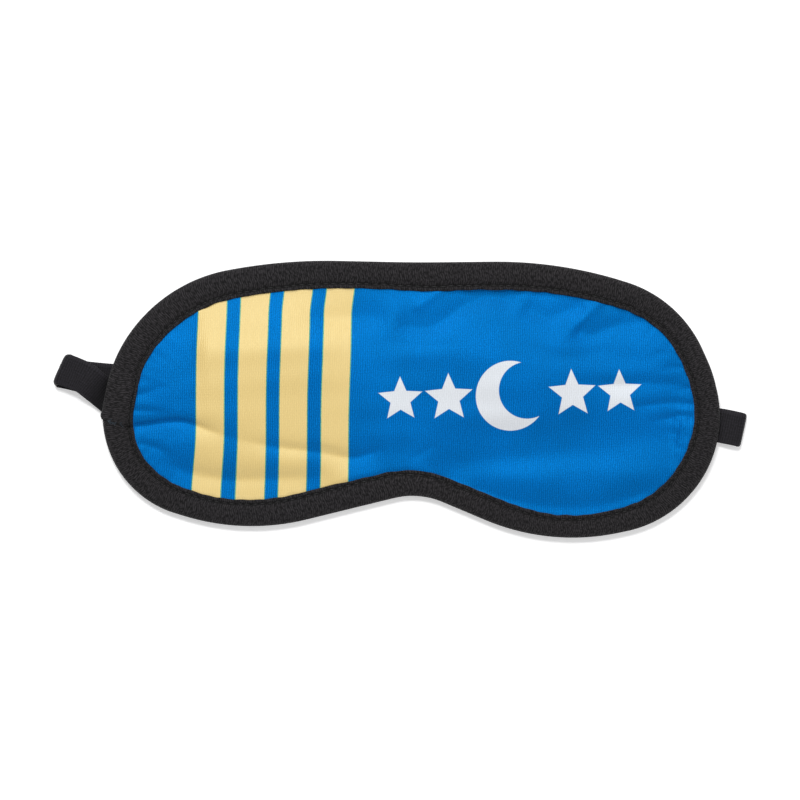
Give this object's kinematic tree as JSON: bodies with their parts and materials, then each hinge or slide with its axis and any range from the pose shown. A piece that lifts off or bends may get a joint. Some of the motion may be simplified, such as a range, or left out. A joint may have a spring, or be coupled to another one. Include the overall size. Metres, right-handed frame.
{
  "type": "sleep eye mask",
  "caption": "Padded cloth sleep mask with a bound edge, a shallow nose arch and a flat elastic head strap folded underneath.",
  "frame": {"origin": "on the underside of the strap, under the middle of the mask as it lies face up", "axes": "+X across the mask's width, towards the wearer's left; +Y towards the forehead edge; +Z out of the printed front"},
  "size_m": [0.2258, 0.0891, 0.0068],
  "materials": {
    "printed_cloth": "matte",
    "foam": "matte",
    "lining_cloth": "matte",
    "tape": "matte",
    "black_thread": "matte",
    "elastic": "matte"
  },
  "bodies": {
    "strap": {"strap_run": "elastic"},
    "mask": {"front_fabric": "printed_cloth", "foam_pad": "foam", "back_lining": "lining_cloth", "binding_tape": "tape", "needle_thread": "black_thread", "bobbin_thread": "black_thread", "left_bartack": "black_thread", "right_bartack": "black_thread", "strap_left_end": "elastic", "strap_right_end": "elastic"}
  },
  "joints": [
    {"name": "head_loop_open", "type": "slide", "parent": "strap", "child": "mask", "axis": [0, 0, 1], "range_m": [0, 0.11], "stiffness_N_per_m": 30, "deforming": ["strap_left_end", "strap_right_end"]}
  ]
}
